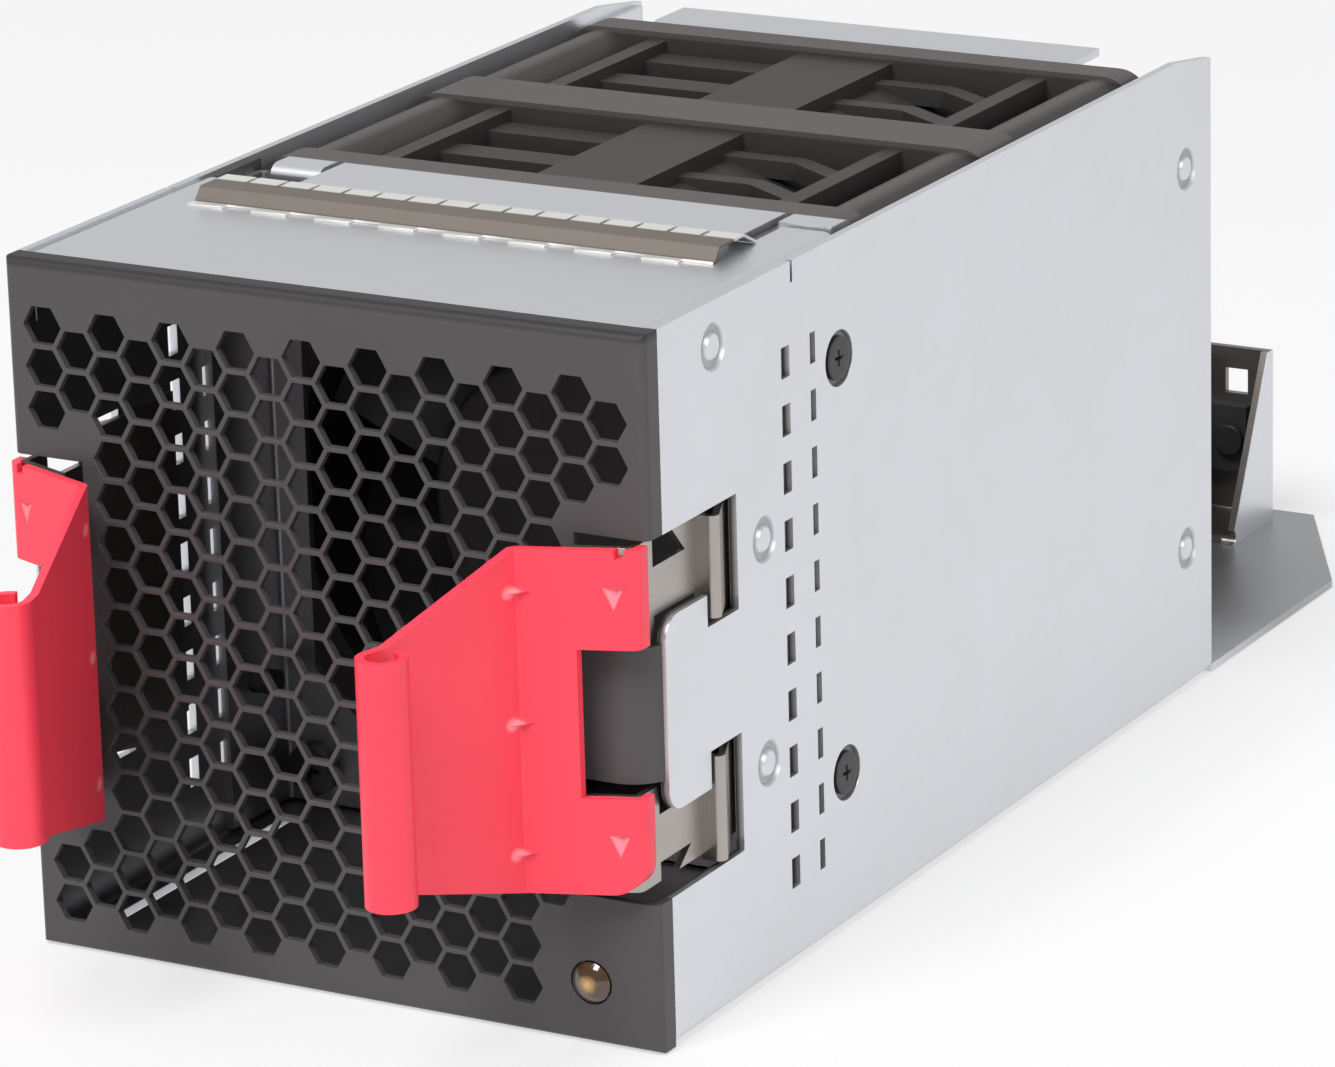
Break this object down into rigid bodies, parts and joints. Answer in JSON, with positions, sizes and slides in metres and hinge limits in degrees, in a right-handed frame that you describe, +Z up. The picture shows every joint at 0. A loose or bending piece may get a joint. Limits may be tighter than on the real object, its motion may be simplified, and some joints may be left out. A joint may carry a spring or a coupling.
{
  "type": "fan tray",
  "caption": "Hot-swap fan tray: sheet-steel sleeve with hexagonal grille, red squeeze latches, tandem axial fans and a rear blind-mate connector on a tongue.",
  "frame": {"origin": "under the middle of the tray's box, on the underside of the floor", "axes": "+Z up; +Y back along the tray, the way it slides into its bay; the grille and the grips face -Y"},
  "size_m": [0.0814, 0.2326, 0.0817],
  "materials": {
    "galvanised": "zinc coated, satin",
    "panel_paint": "dark grey powder coat",
    "grip_paint": "coral red powder coat",
    "spring_steel": "bare, nickel tint",
    "gasket_metal": "tinned copper alloy, dull",
    "fan_plastic": "moulded, fine grain",
    "bright_steel": "turned",
    "black_screw": "black oxide",
    "board": "solder mask",
    "winding": "enamelled copper",
    "magnet": "bonded ferrite",
    "connector_plastic": "moulded",
    "contact_gold": "gold flash",
    "light_lens": "amber, clear"
  },
  "bodies": {
    "tray": {"sleeve": "galvanised", "front_panel": "panel_paint", "top_cover": "galvanised", "finger_gasket": "gasket_metal", "fan_bracket": "galvanised", "rear_frame": "galvanised", "status_light": "light_lens", "light_board": "board", "side_screws": "black_screw", "fan_screws": "black_screw", "connector_bracket": "galvanised", "bracket_rivets": "bright_steel", "connector_housing": "connector_plastic", "connector_contacts": "contact_gold", "connector_board": "board", "connector_screws": "bright_steel", "front_fan_frame": "fan_plastic", "front_fan_bearings": "bright_steel", "front_fan_board": "board", "front_stator": "winding", "rear_fan_frame": "fan_plastic", "rear_fan_bearings": "bright_steel", "rear_fan_board": "board", "rear_stator": "winding", "right_latch_foot": "spring_steel", "left_latch_foot": "spring_steel"},
    "right_latch": {"right_grip": "grip_paint", "right_latch_spring": "spring_steel", "right_latch_rivets": "bright_steel"},
    "left_latch": {"left_grip": "grip_paint", "left_latch_spring": "spring_steel", "left_latch_rivets": "bright_steel"},
    "front_rotor": {"front_impeller": "fan_plastic", "front_shaft": "bright_steel", "front_magnet_ring": "magnet"},
    "rear_rotor": {"rear_impeller": "fan_plastic", "rear_shaft": "bright_steel", "rear_magnet_ring": "magnet"}
  },
  "joints": [
    {"name": "right_latch_squeeze", "type": "hinge", "parent": "tray", "child": "right_latch", "pos_m": [0.0382, -0.0656, 0.0379], "axis": [0, 0, -1], "range_deg": [0, 8], "stiffness_Nm_per_rad": 3},
    {"name": "left_latch_squeeze", "type": "hinge", "parent": "tray", "child": "left_latch", "pos_m": [-0.0382, -0.0656, 0.0379], "axis": [0, 0, 1], "range_deg": [0, 8], "stiffness_Nm_per_rad": 3},
    {"name": "front_fan_spin", "type": "hinge", "parent": "tray", "child": "front_rotor", "pos_m": [0, -0.0205, 0.0406], "axis": [0, 1, 0], "continuous": true},
    {"name": "rear_fan_spin", "type": "hinge", "parent": "tray", "child": "rear_rotor", "pos_m": [0, 0.0235, 0.0406], "axis": [0, -1, 0], "continuous": true}
  ]
}
